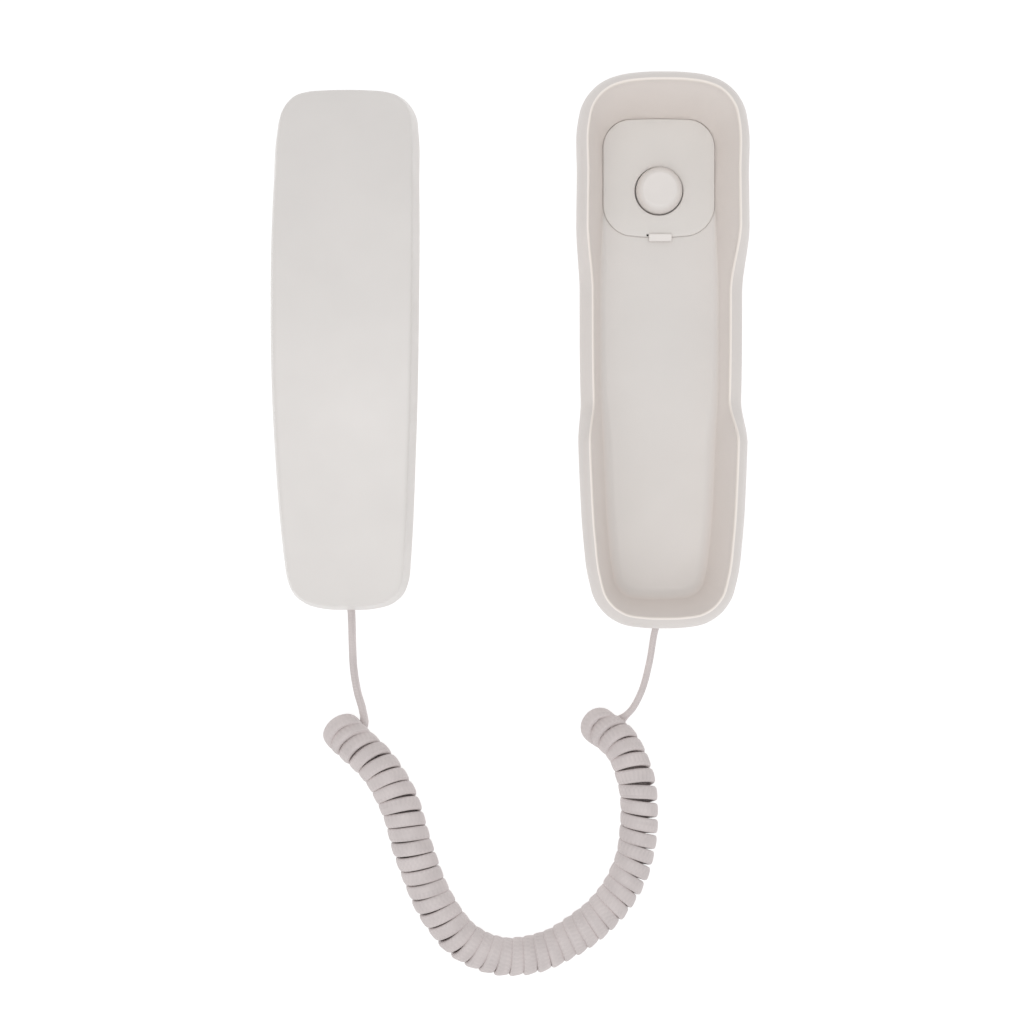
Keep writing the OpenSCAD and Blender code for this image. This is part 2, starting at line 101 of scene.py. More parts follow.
def add_camera():
    """Camera that looks straight down between the handset and the cradle."""
    data = bpy.data.cameras.new("photo_camera")
    data.lens, data.sensor_width = LENS, SENSOR
    data.clip_start, data.clip_end = 0.01, 20
    cam = bpy.data.objects.new("photo_camera", data)
    cam.location = CAMERA_AT
    bpy.context.scene.collection.objects.link(cam)
    bpy.context.scene.camera = cam


add_camera()


# ---------------------------------------------------------------- curves
def smooth(t):
    """Soft step from 0 to 1 while t goes from 0 to 1."""
    u = np.clip(t, 0, 1)
    return u * u * (3 - 2 * u)


def hermite(p, q, m, n, t):
    """Point and heading on the cubic from p to q with end slopes m and n."""
    point = (2*t**3 - 3*t**2 + 1)*p + (t**3 - 2*t**2 + t)*m + (3*t**2 - 2*t**3)*q + (t**3 - t**2)*n
    head = (6*t*t - 6*t)*p + (3*t*t - 4*t + 1)*m + (6*t - 6*t*t)*q + (3*t*t - 2*t)*n
    return point, head


def slope(a, b, c):
    """Heading at b of the curve through a, b and c, spaced unevenly."""
    u, v = np.linalg.norm(b - a), np.linalg.norm(c - b)
    return ((c - b) * u / v + (b - a) * v / u) / (u + v)


def outline(half, w, l, step):
    """Points and outward normals of the closed outline whose right half is given as shares."""
    c = [np.array((x * w, y * l)) for x, y in half]
    c += [np.array((-p[0], p[1])) for p in c[-2:0:-1]]
    n, points, normals = len(c), [], []
    for k in range(n):
        p, q = c[k], c[(k + 1) % n]
        s = np.linalg.norm(q - p)
        m, e = slope(c[k - 1], p, q) * s, slope(p, q, c[(k + 2) % n]) * s
        steps = max(2, round(s / step))
        for j in range(steps):
            point, head = hermite(p, q, m, e, j / steps)
            head = head / np.linalg.norm(head)
            points.append(point)
            normals.append((-head[1], head[0]))
    return np.array(points), np.array(normals)


CURVE_STEPS = 40


def through(path, step):
    """Evenly stepped points of a smooth open curve through the path."""
    c = [np.array(p, float) for p in path]
    out = []
    for k in range(len(c) - 1):
        p, q = c[k], c[k + 1]
        s = np.linalg.norm(q - p)
        m = ((q - p) / s if k == 0 else slope(c[k - 1], p, q)) * s
        e = ((q - p) / s if k == len(c) - 2 else slope(p, q, c[k + 2])) * s
        out += [hermite(p, q, m, e, t)[0] for t in np.linspace(0, 1, CURVE_STEPS, endpoint=False)]
    out = np.array(out + [c[-1]])
    along = np.concatenate([[0], np.cumsum(np.linalg.norm(np.diff(out, axis=0), axis=1))])
    at = np.linspace(0, along[-1], max(2, round(along[-1] / step)) + 1)
    return np.array([np.interp(at, along, out[:, i]) for i in range(out.shape[1])]).T, at


# ---------------------------------------------------------------- mesh helpers
def new_object(name, verts, faces, crease_deg=32):
    """Mesh object from millimetre points, shaded smooth except over edges sharper than the angle."""
    mesh = bpy.data.meshes.new(name)
    mesh.from_pydata([tuple(float(x) * MM for x in v) for v in verts], [], faces)
    obj = bpy.data.objects.new(name, mesh)
    bpy.context.scene.collection.objects.link(obj)
    tidy_normals(obj, crease_deg)
    return obj


def tidy_normals(obj, crease_deg):
    """Turns the faces outwards and keeps edges sharper than the angle crisp."""
    bm = bmesh.new()
    bm.from_mesh(obj.data)
    bmesh.ops.recalc_face_normals(bm, faces=bm.faces)
    limit = math.radians(crease_deg)
    for f in bm.faces:
        f.smooth = True
    for e in bm.edges:
        e.smooth = len(e.link_faces) == 2 and e.calc_face_angle(0) < limit
    bm.to_mesh(obj.data)
    bm.free()


def skin(name, rings, columns, first=None, last=None, crease_deg=32):
    """Closed skin over rings of points. Both ends are closed by a grid across the ring.
    first and last give the grid's height from (x, y, share across, height of the straight rung)."""
    rings = [np.asarray(r, float) for r in rings]
    n = len(rings[0])
    h = n // 2
    verts = [p for r in rings for p in r]
    faces = []
    for r in range(len(rings) - 1):
        for i in range(n):
            j = (i + 1) % n
            faces.append((r * n + i, (r + 1) * n + i, (r + 1) * n + j, r * n + j))

    def close(ring, start, lift, flip):
        rows = {}
        for i in range(1, h):
            a, b = ring[i], ring[n - i]
            row = [start + i]
            for k in range(1, columns):
                u = k / columns
                p = a + (b - a) * u
                if lift is not None:
                    p = np.array((p[0], p[1], lift(p[0], p[1], 2 * u - 1, p[2])))
                row.append(len(verts))
                verts.append(p)
            rows[i] = row + [start + n - i]
        for i in range(1, h - 1):
            for k in range(columns):
                f = (rows[i][k], rows[i + 1][k], rows[i + 1][k + 1], rows[i][k + 1])
                faces.append(f[::-1] if flip else f)
        for k in range(columns):
            top = (start, rows[1][k], rows[1][k + 1])
            low = (start + h, rows[h - 1][k + 1], rows[h - 1][k])
            faces.append(top[::-1] if flip else top)
            faces.append(low[::-1] if flip else low)

    close(rings[0], 0, first, False)
    close(rings[-1], (len(rings) - 1) * n, last, True)
    return new_object(name, verts, faces, crease_deg)


def loft(name, loops, crease_deg=32, closed=True):
    """Skin over loops of equal length; the end loops are closed by fans when closed."""
    n = len(loops[0])
    verts = [p for loop in loops for p in loop]
    faces = []
    for r in range(len(loops) - 1):
        for i in range(n):
            j = (i + 1) % n
            faces.append((r * n + i, r * n + j, (r + 1) * n + j, (r + 1) * n + i))
    if closed:
        for start in (0, (len(loops) - 1) * n):
            centre = len(verts)
            verts.append(np.mean(np.array(verts[start:start + n]), axis=0))
            faces += [(start + i, start + (i + 1) % n, centre) for i in range(n)]
    return new_object(name, verts, faces, crease_deg)


def rounded_loop(w, l, r, z, x=0.0, y=0.0, corner=8):
    """Rounded rectangle as a loop of points at height z."""
    pts = []
    for cx, cy, a0 in ((1, 1, 0), (-1, 1, 90), (-1, -1, 180), (1, -1, 270)):
        for k in range(corner + 1):
            a = math.radians(a0 + 90 * k / corner)
            pts.append((x + cx * (w / 2 - r) + r * math.cos(a), y + cy * (l / 2 - r) + r * math.sin(a), z))
    return pts


def lathe(name, profile, x, y, seg=128, crease_deg=32):
    """Closed solid of revolution about the vertical line through x, y from (radius, height) pairs."""
    verts, faces, rows = [], [], []
    for r, z in profile:
        if r < 1e-6:
            rows.append([len(verts)] * seg)
            verts.append((x, y, z))
        else:
            rows.append(list(range(len(verts), len(verts) + seg)))
            verts += [(x + r * math.cos(a), y + r * math.sin(a), z)
                      for a in np.linspace(0, 2 * math.pi, seg, endpoint=False)]
    for p, q in zip(rows, rows[1:]):
        for i in range(seg):
            j = (i + 1) % seg
            f = list(dict.fromkeys((p[i], p[j], q[j], q[i])))
            if len(f) > 2:
                faces.append(tuple(f))
    return new_object(name, verts, faces, crease_deg)


def box_mesh(x, y, z, w, l, h):
    """Cutting box centred on x, y and standing on z: (verts, faces)."""
    v = [(x + i * w / 2, y + j * l / 2, z + k * h) for k in (0, 1) for j in (-1, 1) for i in (-1, 1)]
    f = [(0, 2, 3, 1), (4, 5, 7, 6), (0, 1, 5, 4), (2, 6, 7, 3), (0, 4, 6, 2), (1, 3, 7, 5)]
    return v, f


def tube_mesh(x, y, z, r, h, seg=40):
    """Cutting cylinder standing on z: (verts, faces)."""
    ring = [(math.cos(a) * r, math.sin(a) * r) for a in np.linspace(0, 2 * math.pi, seg, endpoint=False)]
    v = [(x + p[0], y + p[1], z + k * h) for k in (0, 1) for p in ring]
    f = [tuple(range(seg))[::-1], tuple(range(seg, 2 * seg))]
    f += [(i, (i + 1) % seg, seg + (i + 1) % seg, seg + i) for i in range(seg)]
    return v, f


def loops_mesh(loops):
    """Cutting solid over loops, closed by flat ends: (verts, faces)."""
    n = len(loops[0])
    v = [p for loop in loops for p in loop]
    f = [tuple(range(n))[::-1], tuple(range((len(loops) - 1) * n, len(loops) * n))]
    for r in range(len(loops) - 1):
        low, high = r * n, (r + 1) * n
        f += [(low + i, low + (i + 1) % n, high + (i + 1) % n, high + i) for i in range(n)]
    return v, f


def cut(obj, solids, crease_deg=32):
    """Takes the cutting solids, which don't overlap each other, out of the object."""
    verts, faces = [], []
    for v, f in solids:
        faces += [tuple(len(verts) + i for i in face) for face in f]
        verts += v
    tool = new_object("cutter", verts, faces)
    mod = obj.modifiers.new("cut", "BOOLEAN")
    mod.operation, mod.solver, mod.object = "DIFFERENCE", "EXACT", tool
    bpy.context.view_layer.update()
    done = bpy.data.meshes.new_from_object(obj.evaluated_get(bpy.context.evaluated_depsgraph_get()))
    obj.modifiers.clear()
    obj.data = done
    bpy.data.objects.remove(tool)
    tidy_normals(obj, crease_deg)
    return obj


# ---------------------------------------------------------------- materials
def principled(name, color, roughness, **extra):
    """New material with its colour, roughness and any other socket set: (material, tree, shader)."""
    mat = bpy.data.materials.new(name)
    mat.use_nodes = True
    tree = mat.node_tree
    bsdf = tree.nodes["Principled BSDF"]
    bsdf.inputs["Base Color"].default_value = (*color, 1)
    bsdf.inputs["Roughness"].default_value = roughness
    for key, value in extra.items():
        bsdf.inputs[key.replace("_", " ")].default_value = value
    return mat, tree, bsdf


def noise(tree, scale, detail=3.0, stretch=None, coord="Object"):
    """Noise over the object or along its UV map, stretched if asked."""
    tex = tree.nodes.new("ShaderNodeTexNoise")
    tex.inputs["Scale"].default_value = scale
    tex.inputs["Detail"].default_value = detail
    where = tree.nodes.new("ShaderNodeTexCoord").outputs[coord]
    if stretch is not None:
        mapping = tree.nodes.new("ShaderNodeMapping")
        mapping.inputs["Scale"].default_value = stretch
        tree.links.new(where, mapping.inputs["Vector"])
        where = mapping.outputs["Vector"]
    tree.links.new(where, tex.inputs["Vector"])
    return tex.outputs["Fac"]


def ramp(tree, fac, low, high, a=0.3, b=0.7):
    """Colour ramp between two colours over part of the noise."""
    node = tree.nodes.new("ShaderNodeValToRGB")
    node.color_ramp.elements[0].position, node.color_ramp.elements[1].position = a, b
    node.color_ramp.elements[0].color, node.color_ramp.elements[1].color = (*low, 1), (*high, 1)
    tree.links.new(fac, node.inputs["Fac"])
    return node.outputs["Color"]


def spread(tree, fac, low, high):
    """Noise mapped to a range of numbers."""
    node = tree.nodes.new("ShaderNodeMapRange")
    node.inputs["From Min"].default_value, node.inputs["From Max"].default_value = 0.3, 0.7
    node.inputs["To Min"].default_value, node.inputs["To Max"].default_value = low, high
    tree.links.new(fac, node.inputs["Value"])
    return node.outputs["Result"]


def bump(tree, bsdf, heights):
    """Chain of bumps: (height output, strength, distance in metres)."""
    last = None
    for height, strength, distance in heights:
        node = tree.nodes.new("ShaderNodeBump")
        node.inputs["Strength"].default_value = strength
        node.inputs["Distance"].default_value = distance
        tree.links.new(height, node.inputs["Height"])
        if last is not None:
            tree.links.new(last, node.inputs["Normal"])
        last = node.outputs["Normal"]
    tree.links.new(last, bsdf.inputs["Normal"])


def multiply(tree, a, b):
    """Product of two colours."""
    mix = tree.nodes.new("ShaderNodeMix")
    mix.data_type, mix.blend_type = "RGBA", "MULTIPLY"
    mix.inputs["Factor"].default_value = 1.0
    tree.links.new(a, mix.inputs["A"])
    tree.links.new(b, mix.inputs["B"])
    return mix.outputs["Result"]


def shade(color, k):
    """The colour made lighter or darker by a factor."""
    return tuple(min(1.0, c * k) for c in color)


def moulded(name, color, roughness=0.42, grain=0.35):
    """Injection-moulded plastic: fine satin grain, faint flow clouding and uneven gloss."""
    mat, tree, bsdf = principled(name, color, roughness)
    cloud = noise(tree, 28, 4)
    tree.links.new(ramp(tree, cloud, shade(color, 0.975), shade(color, 1.02)), bsdf.inputs["Base Color"])
    tree.links.new(spread(tree, noise(tree, 95, 5), roughness - 0.05, roughness + 0.06),
                   bsdf.inputs["Roughness"])
    bump(tree, bsdf, [(noise(tree, 2600, 2), grain, 0.00003), (noise(tree, 14, 2), 0.25, 0.0003)])
    return mat


SHELL = (0.80, 0.768, 0.745)
plastic = moulded("warm_white_shell", SHELL)
plastic_cradle = moulded("warm_white_cradle", (0.765, 0.720, 0.693))
# The lip's lighter cream colour is a painted highlight along the rim's inner edge
lip_painted_highlight = moulded("warm_white_lip_painted_highlight", (0.96, 0.89, 0.835), 0.4, 0.2)
plastic_pad = moulded("warm_white_pad", (0.768, 0.742, 0.716), 0.4)
plastic_plate = moulded("warm_white_plate", shade(SHELL, 0.94), 0.5, 0.5)
plastic_button = moulded("warm_white_button", shade(SHELL, 1.02), 0.36, 0.2)
key_plastic = moulded("key_white", (0.70, 0.68, 0.655), 0.4, 0.3)


def tray_painted_wall_light_material():
    """Inside of the tray: the same moulding, with painted light on its drafted walls, coloured paler and
    warmer than the floor.
    """
    floor, wall = (0.772, 0.742, 0.718), (0.885, 0.828, 0.792)
    mat, tree, bsdf = principled("warm_white_tray_painted_wall_light", floor, 0.42)
    split = tree.nodes.new("ShaderNodeSeparateXYZ")
    tree.links.new(tree.nodes.new("ShaderNodeNewGeometry").outputs["Normal"], split.inputs["Vector"])
    # Steep walls get the paler, warmer wall colour and the flat floor keeps its own: painted light lifting
    # the walls' shade
    tint = ramp(tree, split.outputs["Z"], wall, floor, 0.45, 0.98)
    cloud = ramp(tree, noise(tree, 28, 4), (0.975, 0.975, 0.975), (1.0, 1.0, 1.0))
    tree.links.new(multiply(tree, tint, cloud), bsdf.inputs["Base Color"])
    tree.links.new(spread(tree, noise(tree, 95, 5), 0.37, 0.48), bsdf.inputs["Roughness"])
    bump(tree, bsdf, [(noise(tree, 2600, 2), 0.35, 0.00003), (noise(tree, 14, 2), 0.2, 0.0003)])
    return mat


tray_painted_wall_light = tray_painted_wall_light_material()


def cord_material():
    """Soft cable jacket: matt, with fine lines along the cord and a soft clouding."""
    color = (0.655, 0.595, 0.587)
    mat, tree, bsdf = principled("cord_jacket", color, 0.55)
    lines = noise(tree, 1.0, 2, (0.6, 34, 1), "UV")
    fine = noise(tree, 1.0, 1, (3, 110, 1), "UV")
    cloud = noise(tree, 120, 3)
    tint = ramp(tree, cloud, shade(color, 0.95), shade(color, 1.06))
    streak = ramp(tree, lines, (0.93, 0.93, 0.93), (1.05, 1.05, 1.05))
    tree.links.new(multiply(tree, tint, streak), bsdf.inputs["Base Color"])
    tree.links.new(spread(tree, lines, 0.5, 0.64), bsdf.inputs["Roughness"])
    bump(tree, bsdf, [(lines, 0.35, 0.00008), (fine, 0.3, 0.00004), (noise(tree, 3000, 2), 0.25, 0.00002)])
    return mat


def metal(name, color, roughness):
    """Plain metal with fine drawn scratches."""
    mat, tree, bsdf = principled(name, color, roughness, Metallic=1.0)
    scratch = noise(tree, 900, 3, (1, 1, 8))
    tree.links.new(spread(tree, scratch, roughness - 0.08, roughness + 0.1), bsdf.inputs["Roughness"])
    tree.links.new(ramp(tree, noise(tree, 150, 3), shade(color, 0.93), shade(color, 1.05)),
                   bsdf.inputs["Base Color"])
    bump(tree, bsdf, [(scratch, 0.15, 0.00002)])
    return mat


def board_material():
    """Circuit board: green mask with copper tracks showing through as lighter lines."""
    mat, tree, bsdf = principled("circuit_board", (0.02, 0.13, 0.04), 0.35)
    tracks = tree.nodes.new("ShaderNodeTexBrick")
    tracks.inputs["Scale"].default_value = 190
    tracks.inputs["Color1"].default_value = tracks.inputs["Color2"].default_value = (0.018, 0.12, 0.04, 1)
    tracks.inputs["Mortar"].default_value = (0.05, 0.24, 0.08, 1)
    tracks.inputs["Mortar Size"].default_value = 0.05
    tree.links.new(tree.nodes.new("ShaderNodeTexCoord").outputs["Object"], tracks.inputs["Vector"])
    tree.links.new(tracks.outputs["Color"], bsdf.inputs["Base Color"])
    bump(tree, bsdf, [(tracks.outputs["Fac"], 0.3, 0.00005), (noise(tree, 1500, 2), 0.1, 0.00002)])
    return mat


def soft_dark(name, color, roughness, scale, strength):
    """Dark moulding, rubber or foam with a grain of its own."""
    mat, tree, bsdf = principled(name, color, roughness)
    grain = noise(tree, scale, 4)
    tree.links.new(ramp(tree, grain, shade(color, 0.8), shade(color, 1.3)), bsdf.inputs["Base Color"])
    tree.links.new(spread(tree, noise(tree, scale / 6, 2), roughness - 0.06, roughness + 0.06),
                   bsdf.inputs["Roughness"])
    bump(tree, bsdf, [(grain, strength, 0.00008)])
    return mat


cord_jacket = cord_material()
steel = metal("zinc_steel", (0.62, 0.62, 0.63), 0.36)
can = metal("drawn_aluminium", (0.70, 0.70, 0.71), 0.28)
board = board_material()
dark_plastic = soft_dark("dark_moulding", (0.022, 0.022, 0.024), 0.45, 1800, 0.25)
rubber = soft_dark("matt_rubber", (0.016, 0.016, 0.017), 0.75, 2400, 0.4)
foam = soft_dark("foam", (0.02, 0.02, 0.022), 0.9, 1500, 0.8)
silicone = soft_dark("silicone_sheet", (0.26, 0.26, 0.27), 0.55, 1300, 0.2)
legend = soft_dark("key_legend", (0.05, 0.05, 0.055), 0.5, 2500, 0.1)
clear, clear_tree, clear_bsdf = principled("clear_plug", (0.85, 0.86, 0.85), 0.12,
                                           Transmission_Weight=0.75, IOR=1.49)
bump(clear_tree, clear_bsdf, [(noise(clear_tree, 300, 2), 0.08, 0.0001)])


def paint(obj, mat):
    """Gives the object its one material."""
    obj.data.materials.clear()
    obj.data.materials.append(mat)
    return obj


def place(obj, mat, slot, body, *replaced):
    """Paints the piece, lets it ride on its body and shows it instead of the CAD nodes named."""
    paint(obj, mat)
    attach(obj, body)
    if replaced:
        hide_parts(*replaced)
    return obj


# ---------------------------------------------------------------- cord
# Distance along the coil to the next turn, at distances from its first turn
PITCH_AT = [(0, 3.9), (7, 4.6), (14, 5.5), (92, 5.6), (104, 4.8), (150, 4.75), (168, 5.2), (188, 5.6),
            (209, 6.0), (220, 5.4), (228, 4.85), (242, 4.2)]
# Lean of the turns in degrees, at distances from the coil's first and last turn
LEAN = [(0, 38), (8, 30), (20, 18), (40, 9), (62, 0)]
LEAN_END = [(0, 50), (6, 40), (14, 24), (26, 10), (40, 0)]
# The half turn at each end is drawn in under its neighbours by this much
PULL, PULL_END = 2.5, 3.5
# The first turns, by the handset, are a little wider
SLACK = 0.45
# Along the bottom of the U the turns lie like shingles: each one's edge stands over the next
SHINGLE_DEG = 9.0
STEPS_PER_TURN = 26
WOBBLE_SEED, WOBBLE_DEG, WOBBLE_R = 7, 1.6, 0.12


def lift_off(lean_deg):
    """Height of a leaning turn's centre when it just touches the floor."""
    a = math.radians(lean_deg)
    return COIL_D / 2 * math.cos(a) + CORD_W / 2 * math.sin(a)


def coil_points():
    """Centre line of the wound cord, with the outward direction of its flat side."""
    line, at = through(COIL_PATH, 0.5)
    heading = np.gradient(line, at, axis=0)
    heading /= np.linalg.norm(heading, axis=1)[:, None]
    total = at[-1]
    fine = np.linspace(0, total, 4000)
    turn = np.concatenate([[0], np.cumsum(np.diff(fine) / np.interp(
        (fine[1:] + fine[:-1]) / 2, *zip(*PITCH_AT)))])
    turns = round(turn[-1])
    turn *= turns / turn[-1]
    count = turns * STEPS_PER_TURN
    rng = np.random.default_rng(WOBBLE_SEED)
    wobble = rng.normal(0, 1, turns + 3)
    radius = COIL_D / 2 - CORD_T / 2
    points, normals = [], []
    for k in range(count + 1):
        q = k / STEPS_PER_TURN
        s = np.interp(q, turn, fine)
        c = np.array([np.interp(s, at, line[:, i]) for i in (0, 1)])
        t = np.array([np.interp(s, at, heading[:, i]) for i in (0, 1)])
        t /= np.linalg.norm(t)
        lean = np.interp(s, *zip(*LEAN)) - np.interp(total - s, *zip(*LEAN_END))
        jitter = np.interp(q, range(len(wobble)), wobble)
        lean_r = math.radians(lean + WOBBLE_DEG * jitter)
        t3 = np.array((t[0], t[1], 0))
        left = np.array((-t[1], t[0], 0))
        up = np.array((0, 0, 1)) * math.cos(lean_r) - t3 * math.sin(lean_r)
        a = math.radians(-90) - 2 * math.pi * q
        out = left * math.cos(a) + up * math.sin(a)
        slack = SLACK * (1 - smooth((s - 95) / 25))
        centre = np.array((c[0], c[1], lift_off(abs(math.degrees(lean_r))) + slack))
        centre = centre + t3 * (PULL * (1 - smooth(q / 0.6)) - PULL_END * smooth((q - turns + 0.6) / 0.6))
        points.append(centre + out * (radius + slack + WOBBLE_R * jitter))
        along = t3 * math.cos(lean_r) + np.array((0, 0, 1)) * math.sin(lean_r)
        tilt = math.radians(SHINGLE_DEG) * (smooth((s - 84) / 16) - smooth((s - 168) / 18))
        normals.append(out * math.cos(tilt) + along * math.sin(tilt))
    return np.array(points), np.array(normals)


# A lead leaves its plug flat, turns up on its edge within RISE and is flat again over the last FALL
RISE, FALL, STAND_DEG = 5.5, 10, 84


def lead(start, via, end):
    """Lead from a plug to the coil: its points, and the directions its flat side faces."""
    pts, at = through([start, *via, end], 1.2)
    head = np.gradient(pts, at, axis=0)
    head /= np.linalg.norm(head, axis=1)[:, None]
    normals = []
    for h, s in zip(head, at):
        side = np.cross((0, 0, 1), h)
        side /= np.linalg.norm(side)
        up = np.cross(h, side)
        stand = smooth(s / RISE) * smooth((at[-1] - s - 1) / FALL)
        a = math.radians(90 - STAND_DEG * stand)
        normals.append(side * math.cos(a) + up * math.sin(a))
    return pts, np.array(normals)


SECTION_POINTS, SECTION_POWER = 20, 0.64


def band_section():
    """Section of the flat cord, an oblong with round corners: (along the width, along the thickness)."""
    pts = []
    for k in range(SECTION_POINTS):
        a = 2 * math.pi * k / SECTION_POINTS
        c, s = math.cos(a), math.sin(a)
        pts.append((math.copysign(abs(c) ** SECTION_POWER, c) * CORD_W / 2,
                    math.copysign(abs(s) ** SECTION_POWER, s) * CORD_T / 2))
    return pts


def sweep_band(name, points, normals):
    """The cord's mesh with u along its length and v round its section."""
    points = np.asarray(points)
    head = np.gradient(points, axis=0)
    head /= np.linalg.norm(head, axis=1)[:, None]
    across = np.cross(head, normals)
    across /= np.linalg.norm(across, axis=1)[:, None]
    outward = np.cross(across, head)
    section = band_section()
    n, verts, faces, uvs = len(section), [], [], []
    along = np.concatenate([[0], np.cumsum(np.linalg.norm(np.diff(points, axis=0), axis=1))])
    for p, w, o in zip(points, across, outward):
        verts += [p + w * x + o * y for x, y in section]
    for r in range(len(points) - 1):
        for i in range(n):
            j = (i + 1) % n
            faces.append((r * n + i, r * n + j, (r + 1) * n + j, (r + 1) * n + i))
            u0, u1, v0, v1 = along[r] / 10, along[r + 1] / 10, i / n, (i + 1) / n
            uvs += [(u0, v0), (u0, v1), (u1, v1), (u1, v0)]
    faces.append(tuple(range(n))[::-1])
    faces.append(tuple(range((len(points) - 1) * n, len(points) * n)))
    uvs += [(0, 0)] * (2 * n)
    obj = new_object(name, verts, faces, 70)
    layer = obj.data.uv_layers.new(name="cord")
    layer.data.foreach_set("uv", np.array(uvs, np.float32).ravel())
    return obj, along[-1]


# Route of each lead after its plug, and the straight run before it joins the coil
HANDSET_LEAD = [(HX, -96, 7.6), (HX, -104, 4.0), (-117.9, -112, 2.6), (-117.3, -122, 2.6),
                (-115.8, -130.5, 2.6), (-113.9, -137.2, 2.6), (-113.5, -141.6, 2.4)]
BASE_LEAD = [(0, -101, 6.2), (-1.2, -108, 3.4), (-3, -119, 2.6), (-6.5, -131, 2.6), (-9.2, -136.0, 2.6)]
JOIN_RUN, JOIN_RISE = 4, (0, 0, 0.5)


def make_cord():
    """The whole handset cord as one piece: lead, coil and lead, lying on the table."""
    coil, coil_n = coil_points()
    first, last = coil[0], coil[-1]
    head_in = coil[1] - coil[0]
    head_in /= np.linalg.norm(head_in)
    head_out = coil[-1] - coil[-2]
    head_out /= np.linalg.norm(head_out)
    join_in = first - head_in * JOIN_RUN + np.array(JOIN_RISE)
    join_out = last + head_out * JOIN_RUN + np.array(JOIN_RISE)
    before, before_n = lead(HANDSET_EXIT, [*HANDSET_LEAD, tuple(join_in)], tuple(first))
    after, after_n = lead(BASE_EXIT, [*BASE_LEAD, tuple(join_out)], tuple(last))
    points = np.concatenate([before[:-1], coil, after[-2::-1]])
    normals = np.concatenate([before_n[:-1], coil_n, after_n[-2::-1]])
    # one continuous frame: each outward direction is turned to the side nearest the one before it
    for i in range(1, len(normals)):
        if np.dot(normals[i], normals[i - 1]) < 0:
            normals[i] = -normals[i]
    obj, length = sweep_band("handset_cord", points, normals)
    paint(obj, cord_jacket)
    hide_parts("coil_cord", "base_lead", "handset_lead")
    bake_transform(obj)
    print("cord length mm", round(length, 1))


make_cord()


# ---------------------------------------------------------------- cradle
def rim_dip(y):
    """Drop of the rim where the fingers reach in."""
    return DIP * (smooth((47 - y) / 25) - smooth((-18 - y) / 17))


def bowl(y):
    """1 along the mouth end of the tray, whose floor is a little deeper."""
    return smooth((-2 - y) / 40)


def wall_inset(z):
    """Inset of the tray's wall at a height."""
    return 4.6 + (RIM_Z - 1 - z) * INNER_DRAFT


def skin_inset(z):
    """Inset of the cradle's outside below its widest line."""
    return (WIDEST_Z - z) * OUTER_DRAFT


def ear_end(y):
    """1 at the ear end, where the tray's wall leans back."""
    return smooth((y - 80) / 18)


# Rim from the inner wall over the lip to the widest line: (inset, height below the rim)
LIP = [(4.62, -1.3), (4.56, -0.75), (4.46, -0.4), (4.3, -0.14), (4.1, 0.0), (3.86, 0.03), (3.62, -0.04),
       (3.44, -0.18)]
FLANK = [(3.2, -0.34), (2.8, -0.62), (2.35, -1.05), (1.9, -1.62), (1.5, -2.3), (1.1, -3.2), (0.72, -4.3),
         (0.4, -5.5), (0.15, -6.8), (0.03, -7.8)]


# Insets deeper than TURN_IN run towards the tray's spine, a middle line that ends SPINE above and
# below the middle, so that the rings never fold over in the round ends
TURN_IN, SPINE = 8.0, 74.0
# A face this near to a lip ring, in metres, gets the lip's painted highlight
LIP_HIGHLIGHT_REACH = 0.00026


def paint_lip_highlight_and_tray(obj, rings):
    """Finishes of the shell: the inside of the tray, whose walls carry painted light, and the narrow lip
    along the rim, coloured lighter as a painted highlight.
    """
    obj.data.materials.append(lip_painted_highlight)
    obj.data.materials.append(tray_painted_wall_light)
    steps = [ring + (np.roll(ring, -1, 0) - ring) * t for ring in rings for t in (0, 0.2, 0.4, 0.6, 0.8)]
    points = np.concatenate(steps) * MM
    tree = KDTree(len(points))
    for i, p in enumerate(points):
        tree.insert(Vector(p), i)
    tree.balance()
    for f in obj.data.polygons:
        # Faces along the rim's lip get the lighter colour, a painted highlight
        if f.center.z > 0.020 and tree.find(f.center)[2] < LIP_HIGHLIGHT_REACH and f.normal.z > 0.1:
            f.material_index = 1
            continue
        c, n = f.center / MM, f.normal
        inward = -c.x * n.x - (c.y - min(SPINE, max(-SPINE, c.y))) * n.y
        if c.z > FLOOR_Z - 2 and n.z > -0.05 and (inward > 0 or n.z > 0.9 and c.z < PAD_Z):
            f.material_index = 2


# The plate round the button: directions of its points from the button, and the bow of its two ends
PAD_ANGLES = np.linspace(0, 2 * math.pi, 256, endpoint=False)
PAD_BOW_LOW, PAD_BOW_HIGH = 2.3, 0.9


def pad_edge(inset):
    """Points of the plate's outline: bowed outwards at its lower and, less, its upper edge."""
    w, l, r = PAD_W / 2 - inset, PAD_L / 2 - inset, PAD_R - inset
    out = []
    for a in PAD_ANGLES:
        d = np.array((math.cos(a), math.sin(a)))
        lo, hi = 0.0, 60.0
        for _ in range(40):
            mid = (lo + hi) / 2
            p = np.array((0, BUTTON_Y - PAD_Y)) + d * mid
            bow = (PAD_BOW_LOW if p[1] < 0 else PAD_BOW_HIGH) * min(1, (p[0] / w) ** 2)
            q = np.maximum(np.abs(p) - np.array((w - r, l - r - bow)), 0)
            lo, hi = (mid, hi) if np.linalg.norm(q) < r else (lo, mid)
        p = d * lo
        out.append((p[0], p[1] + BUTTON_Y))
    return out


# Open end of the hanger clip's slot, at the edge of the button's plate
SLOT_END = (-4.35, TAB_Y + 0.85)


